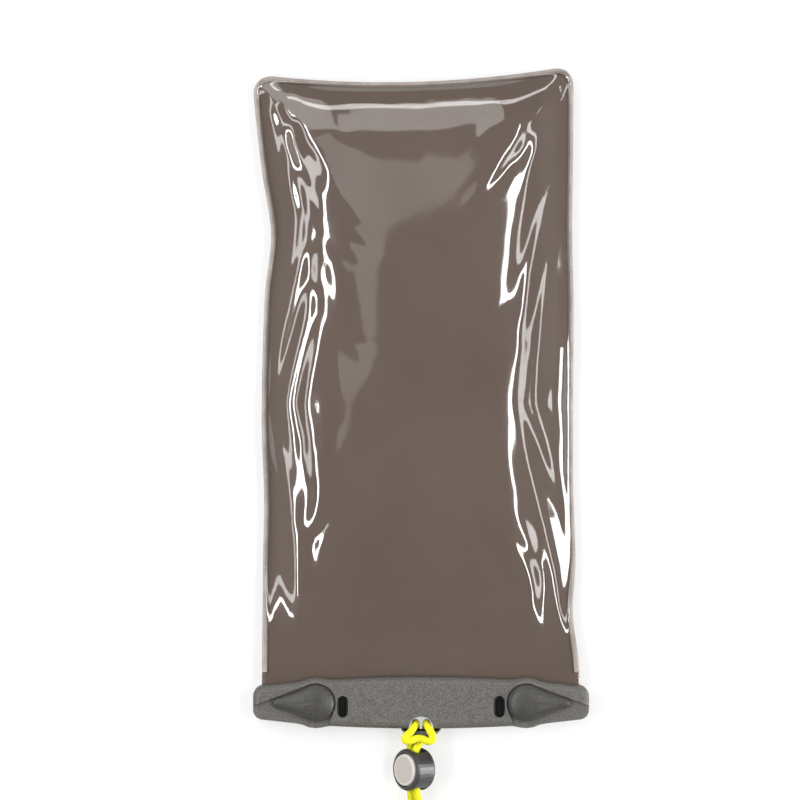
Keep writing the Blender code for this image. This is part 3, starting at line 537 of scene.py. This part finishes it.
def taupe_film_material():
    look = Look("taupe_film_look")
    where = look.coordinates()
    cloud = look.noise(where, TAUPE_CLOUDS, detail=4.0)
    grain = look.noise(where, TAUPE_POINTS, detail=2.0, roughness=0.6)
    tone = look.mix_colours(look.ramp(cloud, 0, 1, start=0.3, end=0.7), TAUPE_DARK, TAUPE_PALE)
    tone = look.mix_colours(look.ramp(grain, 0, 0.3, start=0.3, end=0.7), tone, TAUPE_GRAIN)
    look.link(tone, look.shader.inputs["Base Color"])
    look.link(look.ramp(cloud, 0.28, 0.42), look.shader.inputs["Roughness"])
    look.bump(grain, 0.03 * MM, strength=0.4)
    return look.material


def weld_material():
    """The two films fused together: paler, and pressed with the weld bar's fine pattern."""
    look = Look("weld_look")
    where = look.coordinates()
    cloud = look.noise(where, WELD_CLOUDS, detail=4.0)
    grid = look.node("ShaderNodeTexVoronoi", Scale=WELD_POINTS)
    look.link(where, grid.inputs["Vector"])
    tone = look.mix_colours(look.ramp(cloud, 0, 1, start=0.3, end=0.7), WELD_DARK, WELD_PALE)
    look.link(tone, look.shader.inputs["Base Color"])
    look.set(Roughness=0.28)
    look.bump(grid.outputs["Distance"], 0.05 * MM, strength=0.5)
    return look.material


# The dark line beside the weld: partly the thicker film at the seam, partly painted shade of the gap between
# weld and film
def weld_line_and_shade_material():
    look = Look("weld_line_and_shade_look")
    where = look.coordinates()
    tone = look.mix_colours(look.noise(where, SEAM_MOTTLE), SEAM_LINE_AND_SHADE_DARK, SEAM_LINE_AND_SHADE_BROWN)
    look.link(tone, look.shader.inputs["Base Color"])
    look.set(Roughness=0.25)
    return look.material


def button_material():
    """A warm grey face with a paler ring near its rim, drawn about the cord lock's axis."""
    look = Look("button_look")
    where = look.coordinates()
    away = look.node("ShaderNodeVectorMath", operation="SUBTRACT")
    look.link(where, away.inputs[0])
    away.inputs[1].default_value = LOCK_CENTRE
    cross = look.node("ShaderNodeVectorMath", operation="CROSS_PRODUCT")
    look.link(away.outputs["Vector"], cross.inputs[0])
    cross.inputs[1].default_value = LOCK_AXIS
    length = look.node("ShaderNodeVectorMath", operation="LENGTH")
    look.link(cross.outputs["Vector"], length.inputs[0])
    ring = look.ramp(length.outputs["Value"], 0, 1, start=RING_START, end=RING_END)
    fine = look.noise(where, BUTTON_POINTS, detail=2.0, roughness=0.6)
    tone = look.mix_colours(look.ramp(fine, 0, 1, start=0.35, end=0.65), BUTTON_DARK, BUTTON_PALE)
    tone = look.mix_colours(ring, tone, BUTTON_RING)
    look.link(tone, look.shader.inputs["Base Color"])
    look.set(Roughness=0.38)
    look.bump(fine, 0.03 * MM, strength=0.4)
    return look.material


def steel_material():
    look = Look("spring_look")
    where = look.coordinates()
    look.set(Base_Color=(*STEEL, 1), Metallic=1.0)
    look.link(look.ramp(look.noise(where, STEEL_MOTTLE), 0.2, 0.4), look.shader.inputs["Roughness"])
    return look.material


def dress(material, *names):
    """Gives CAD nodes their look."""
    for name in names:
        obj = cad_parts[name]
        obj.data.materials.clear()
        obj.data.materials.append(material)


cord.data.materials.append(cord_material())
dress(textured_plastic("clip_grey", CLIP_GREY, 0.5, mottle=0.38), "front_jaw", "rear_jaw")
dress(textured_plastic("lever_grey", LEVER_GREY, 0.4, specular=0.4), "left_lever", "right_lever")
rubber = smooth_plastic("black_rubber_look", RUBBER_BLACK, 0.16, specular=0.25)
dress(rubber, "front_seal", "rear_seal", "left_peg", "right_peg", "coil_tie")
dress(smooth_plastic("lock_black", LOCK_BLACK, 0.4, specular=1.0), "lock_housing", "lanyard_ferrule")
dress(button_material(), "lock_button")
dress(steel_material(), "lock_spring")


# Films


def side_edge(y, side):
    """The x of the left (side 1) or right (side 2) edge at y, smooth through SIDE_EDGES."""
    rows = SIDE_EDGES
    y_mm = min(max(y / MM, rows[0][0]), rows[-1][0])
    i = next(k for k in range(len(rows) - 1) if y_mm <= rows[k + 1][0])
    before = rows[max(i - 1, 0)]
    here = rows[i]
    after = rows[i + 1]
    beyond = rows[min(i + 2, len(rows) - 1)]
    span = after[0] - here[0]
    t = (y_mm - here[0]) / span
    slope_here = (after[side] - before[side]) / (after[0] - before[0]) * span
    slope_after = (beyond[side] - here[side]) / (beyond[0] - here[0]) * span
    cubic = (2 * t**3 - 3 * t**2 + 1) * here[side] + (t**3 - 2 * t**2 + t) * slope_here
    return (cubic + (3 * t**2 - 2 * t**3) * after[side] + (t**3 - t**2) * slope_after) * MM


def closed_end(x):
    share = x / CLOSED_END_REACH
    return CLOSED_END_Y + CLOSED_END_BOW * share**2 + CLOSED_END_SLOPE * share


def film_point(u, v):
    """A point of the flat cut film. u runs 0 to 1 across it and v from the mouth to the closed end."""
    y = MOUTH_Y + (CLOSED_END_Y - MOUTH_Y) * v
    left = side_edge(y, 1)
    right = side_edge(y, 2)
    x = left + (right - left) * u
    y += (closed_end(x) - CLOSED_END_Y) * v**3
    from_side = min(x - left, right - x)
    from_end = closed_end(x) - y
    if from_side < CORNER_RADIUS and from_end < CORNER_RADIUS:
        p = 1 - from_side / CORNER_RADIUS
        q = 1 - from_end / CORNER_RADIUS
        pull_x = CORNER_RADIUS * p * (1 - math.sqrt(1 - q * q / 2))
        pull_y = CORNER_RADIUS * q * (1 - math.sqrt(1 - p * p / 2))
        x += pull_x if u < 0.5 else -pull_x
        y -= pull_y
    return x, y


def waves(x, y, scale_x, scale_y, plane):
    """Smooth noise over the pouch, from about -1 to 1."""
    return noise.noise(Vector((x * scale_x, y * scale_y, plane)))


def seam_height(y):
    out_of_clip = smoothstep((y - CLIP_EDGE_Y) / END_RISE)
    return SEAM_PLANE + (SEAM_HEIGHT - SEAM_PLANE) * out_of_clip


def seam_wave(x, y):
    """The seam's own small ups and downs, which fade out towards the clip."""
    out_of_clip = smoothstep((y - CLIP_EDGE_Y) / (0.5 * END_RISE))
    return SEAM_WAVE_HEIGHT * waves(x, y, *SEAM_WAVE) * out_of_clip


def swell(distance, reach):
    """From 0 at an edge to 1 where the film lies level, round like a pillow's edge."""
    t = min(max(distance / reach, 0.0), 1.0)
    return (1 - (1 - t) ** 2) ** SWELL_POWER


def edges_at(x, y):
    """How far a point lies inside the welds at the sides and the closed end, and from the clip."""
    side = min(x - side_edge(y, 1), side_edge(y, 2) - x) - WELD_WIDTH
    return side, closed_end(x) - y - WELD_WIDTH, y - CLIP_EDGE_Y


def front_height(x, y):
    side, end, mouth = edges_at(x, y)
    lift = swell(side, SIDE_RISE) * swell(end, CLOSED_RISE) * smoothstep(mouth / (MOUTH_RISE * END_RISE))
    return seam_height(y) + seam_wave(x, y) + SEAM_HALF_GAP + FRONT_BULGE * lift


def pucker(x, y):
    """Long shallow creases beside the seams, slanting a little, which fade out towards the middle."""
    side, end, mouth = edges_at(x, y)
    window = smoothstep(side / PUCKER_START) * (1 - smoothstep((side - PUCKER_START) / PUCKER_REACH))
    window *= smoothstep(end / (2 * PUCKER_START)) * smoothstep(mouth / END_RISE)
    drift = PUCKER_DRIFT * waves(x, y, *PUCKER_DRIFT_WAVE)
    across = side / PUCKER_PITCH + drift + math.copysign(y, x) / PUCKER_SLANT
    return PUCKER_HEIGHT * window * waves(across, y, 1, PUCKER_ALONG, PUCKER_PLANE)


def back_height(x, y):
    side, end, mouth = edges_at(x, y)
    level = smoothstep(side / BACK_RISE) * smoothstep(end / BACK_RISE) * smoothstep(mouth / END_RISE)
    buckle = waves(x, y, *BROAD_BUCKLE) + FINE_BUCKLE_SHARE * waves(x, y, *FINE_BUCKLE)
    lifted = FILM + max(BUCKLE_LIFT + buckle, 0.0) * BUCKLE_HEIGHT
    return (seam_height(y) + seam_wave(x, y) - SEAM_HALF_GAP) * (1 - level) + lifted * level


def film_grid(columns, rows):
    """Flat positions of the film's grid points, row by row from the mouth."""
    return [[film_point(i / columns, j / rows) for i in range(columns + 1)] for j in range(rows + 1)]


def film_sheet(name, grid, height):
    """A sheet of quads over the grid, at the height that the function gives."""
    vertices = [(x, y, height(x, y)) for row in grid for x, y in row]
    across = len(grid[0])
    faces = []
    for j in range(len(grid) - 1):
        for i in range(across - 1):
            a = j * across + i
            faces.append((a, a + 1, a + 1 + across, a + across))
    return add_mesh(name, vertices, faces)


def inflate(obj, grid):
    """Blows the front film up from its seam as cloth, so that its edges pucker as a real one's do."""
    mesh = obj.data
    obj.shape_key_add(name="Basis")
    rest = obj.shape_key_add(name="cut")
    middle_y = (MOUTH_Y + CLOSED_END_Y) / 2
    flat = [point for row in grid for point in row]
    for k, (x, y) in enumerate(flat):
        rest.data[k].co = (x * CUT_WIDER, middle_y + (y - middle_y) * CUT_LONGER, 0)
    pinned = obj.vertex_groups.new(name="seam")
    for k, (x, y) in enumerate(flat):
        side, end, mouth = edges_at(x, y)
        if min(side, end, mouth) < PINNED_WITHIN:
            pinned.add([k], 1.0, "REPLACE")
    start = np.array([v.co[:] for v in mesh.vertices])
    cloth = obj.modifiers.new("Cloth", "CLOTH")
    settings = cloth.settings
    settings.quality = 8
    settings.mass = 0.0006
    settings.tension_stiffness = 40
    settings.compression_stiffness = 40
    settings.shear_stiffness = 20
    settings.bending_stiffness = 0.6
    settings.air_damping = 1.0
    settings.vertex_group_mass = "seam"
    settings.use_pressure = True
    settings.uniform_pressure_force = 5.0
    settings.rest_shape_key = rest
    settings.effector_weights.gravity = 0
    cloth.collision_settings.use_collision = False
    for number in range(1, CLOTH_FRAMES + 1):
        scene.frame_set(number)
    graph = bpy.context.evaluated_depsgraph_get()
    evaluated = obj.evaluated_get(graph).to_mesh()
    moved = np.array([v.co[:] for v in evaluated.vertices])
    obj.evaluated_get(graph).to_mesh_clear()
    obj.modifiers.clear()
    obj.shape_key_clear()
    scene.frame_set(1)
    step = moved - start
    field = step.reshape(len(grid), len(grid[0]), 3)
    for _ in range(SMOOTHING_PASSES):
        around = (field[:-2, 1:-1] + field[2:, 1:-1] + field[1:-1, :-2] + field[1:-1, 2:]) / 4
        field[1:-1, 1:-1] = (field[1:-1, 1:-1] + around) / 2
    size = np.linalg.norm(step, axis=1)
    step *= (np.minimum(size, MOST_MOVED) / np.maximum(size, 1e-9))[:, None]
    mesh.vertices.foreach_set("co", (start + step).reshape(-1))
    mesh.update()


def thicken(obj, thickness, offset, levels=0):
    """Gives a sheet its thickness, after rounding it off where levels are asked for."""
    if levels:
        smooth = obj.modifiers.new("Smooth", "SUBSURF")
        smooth.levels = levels
        smooth.render_levels = levels
    shell = obj.modifiers.new("Thickness", "SOLIDIFY")
    shell.thickness = thickness
    shell.offset = offset


def make_front_film():
    grid = film_grid(FILM_COLUMNS, FILM_ROWS)
    film = film_sheet("front_film_dressed", grid, front_height)
    inflate(film, grid)
    flat = [point for row in grid for point in row]
    for vertex, (x, y) in zip(film.data.vertices, flat):
        vertex.co.z += pucker(x, y)
    thicken(film, FRONT_THICKNESS, offset=1, levels=1)
    film.data.materials.append(clear_film_material())
    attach(film, "pouch")
    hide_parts("front_film")


def make_back_film():
    grid = film_grid(FILM_COLUMNS, FILM_ROWS)
    film = film_sheet("back_film_dressed", grid, back_height)
    thicken(film, BACK_THICKNESS, offset=-1)
    film.data.materials.append(taupe_film_material())
    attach(film, "pouch")
    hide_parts("back_film")


def outline_points():
    """The pouch's outer edge from the clip up the left side, across the closed end and down the right."""
    start = (WELD_START_Y - MOUTH_Y) / (CLOSED_END_Y - MOUTH_Y)
    steps = RIM_SIDE_STEPS
    points = [film_point(0, start + (1 - start) * i / steps) for i in range(steps)]
    points += [film_point(i / RIM_END_STEPS, 1) for i in range(RIM_END_STEPS + 1)]
    points += [film_point(1, 1 - (1 - start) * i / steps) for i in range(1, steps + 1)]
    return points


def make_weld():
    """The fused rim, with the dark line of the seam on its inner side: partly the darker, thicker film there
    and partly painted shade of the gap between weld and film.
    """
    outer = outline_points()
    inner = WELD_WIDTH / MM
    line = inner + SEAM_LINE_WIDTH
    # The section in millimetres: distance from the outer edge, height above the seam, material slot
    section = (
        (0.0, -0.45, 0),
        (0.0, 0.45, 0),
        (0.25, 0.62, 0),
        (inner - 0.3, 0.62, 0),
        (inner, 0.5, 0),
        (inner + 0.1, 0.72, 1),
        (line, 0.85, 1),
        (line, -0.6, 1),
        (0.25, -0.62, 0),
    )
    vertices = []
    for i, (x, y) in enumerate(outer):
        before = Vector(outer[max(i - 1, 0)])
        after = Vector(outer[min(i + 1, len(outer) - 1)])
        along = (after - before).normalized()
        inward = Vector((along.y, -along.x))
        level = seam_height(y) + seam_wave(x, y)
        for distance, lift, _ in section:
            vertices.append((x + inward.x * distance * MM, y + inward.y * distance * MM, level + lift * MM))
    count = len(section)
    faces = []
    slots = []
    for i in range(len(outer) - 1):
        for j in range(count):
            k = (j + 1) % count
            faces.append((i * count + j, i * count + k, (i + 1) * count + k, (i + 1) * count + j))
            slots.append(section[j][2])
    faces.append(tuple(range(count)))
    faces.append(tuple(reversed([(len(outer) - 1) * count + j for j in range(count)])))
    weld = add_mesh("weld_rim", vertices, faces)
    weld.data.materials.append(weld_material())
    weld.data.materials.append(weld_line_and_shade_material())
    for face, index in zip(weld.data.polygons, slots):
        face.material_index = index
    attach(weld, "pouch")


make_front_film()
make_back_film()
make_weld()


# Studio

# Share of plain white in the floor that the camera sees. The rest is its lit surface with the shadow
FLOOR_WHITE = 0.6
FLOOR_HALF = 4.0
FLOOR_DROP = 0.05 * MM
WORLD_STRENGTH = 0.29
# Name, place, width, length and power in watts. The strips lie along the pouch, and their reflections are the
# long highlights beside its seams
LAMPS = (
    ("key", (-0.45, 0.95, 0.9), 1.0, 0.75, 4.7),
    ("left_strip", (-0.62, 0.0, 0.95), 1.1, 0.065, 6.0),
    ("left_fill", (-0.82, 0.0, 0.78), 1.1, 0.12, 2.2),
    ("right_strip", (0.55, 0.0, 1.0), 1.1, 0.05, 4.2),
    ("right_fill", (0.76, 0.0, 0.85), 1.0, 0.10, 1.9),
    ("top_strip", (0.1, 0.95, 0.62), 0.8, 0.10, 1.4),
    ("sheen", (-0.25, 0.35, 1.25), 0.6, 0.5, 0.9),
    ("right_low", (0.85, -0.2, 0.2), 0.5, 0.22, 5.5),
)


def make_floor():
    look = Look("floor_look")
    where = look.coordinates()
    tone = look.mix_colours(look.noise(where, FLOOR_MOTTLE), FLOOR_DARK, FLOOR_PALE)
    look.link(tone, look.shader.inputs["Base Color"])
    look.set(Roughness=0.8)
    glow = look.node("ShaderNodeEmission", Color=(1, 1, 1, 1), Strength=1.0)
    path = look.node("ShaderNodeLightPath")
    seen = path.outputs["Is Camera Ray"]
    for ray in ("Is Transmission Ray", "Is Glossy Ray"):
        seen = look.math("MAXIMUM", seen, path.outputs[ray])
    mixer = look.node("ShaderNodeMixShader")
    look.link(look.ramp(seen, 0.0, FLOOR_WHITE), mixer.inputs["Fac"])
    look.link(look.shader.outputs["BSDF"], mixer.inputs[1])
    look.link(glow.outputs["Emission"], mixer.inputs[2])
    look.link(mixer.outputs["Shader"], look.output.inputs["Surface"])
    half = FLOOR_HALF
    corners = [(-half, -half, 0), (half, -half, 0), (half, half, 0), (-half, half, 0)]
    floor = add_mesh("floor", corners, [(0, 1, 2, 3)], smooth=False)
    floor.location.z = -FLOOR_DROP
    floor.data.materials.append(look.material)


def make_lamp(name, place, width, length, power):
    """An area lamp that faces the middle of the pouch."""
    data = bpy.data.lights.new(name, "AREA")
    data.shape = "RECTANGLE"
    data.size = width
    data.size_y = length
    data.energy = power
    lamp = bpy.data.objects.new(name, data)
    lamp.location = place
    lamp.rotation_euler = (-Vector(place)).to_track_quat("-Z", "Y").to_euler()
    scene.collection.objects.link(lamp)


def make_world():
    world = bpy.data.worlds.new("studio")
    world.use_nodes = True
    background = world.node_tree.nodes["Background"]
    background.inputs["Color"].default_value = (1, 1, 1, 1)
    background.inputs["Strength"].default_value = WORLD_STRENGTH
    scene.world = world


make_floor()
make_world()
for lamp in LAMPS:
    make_lamp(*lamp)
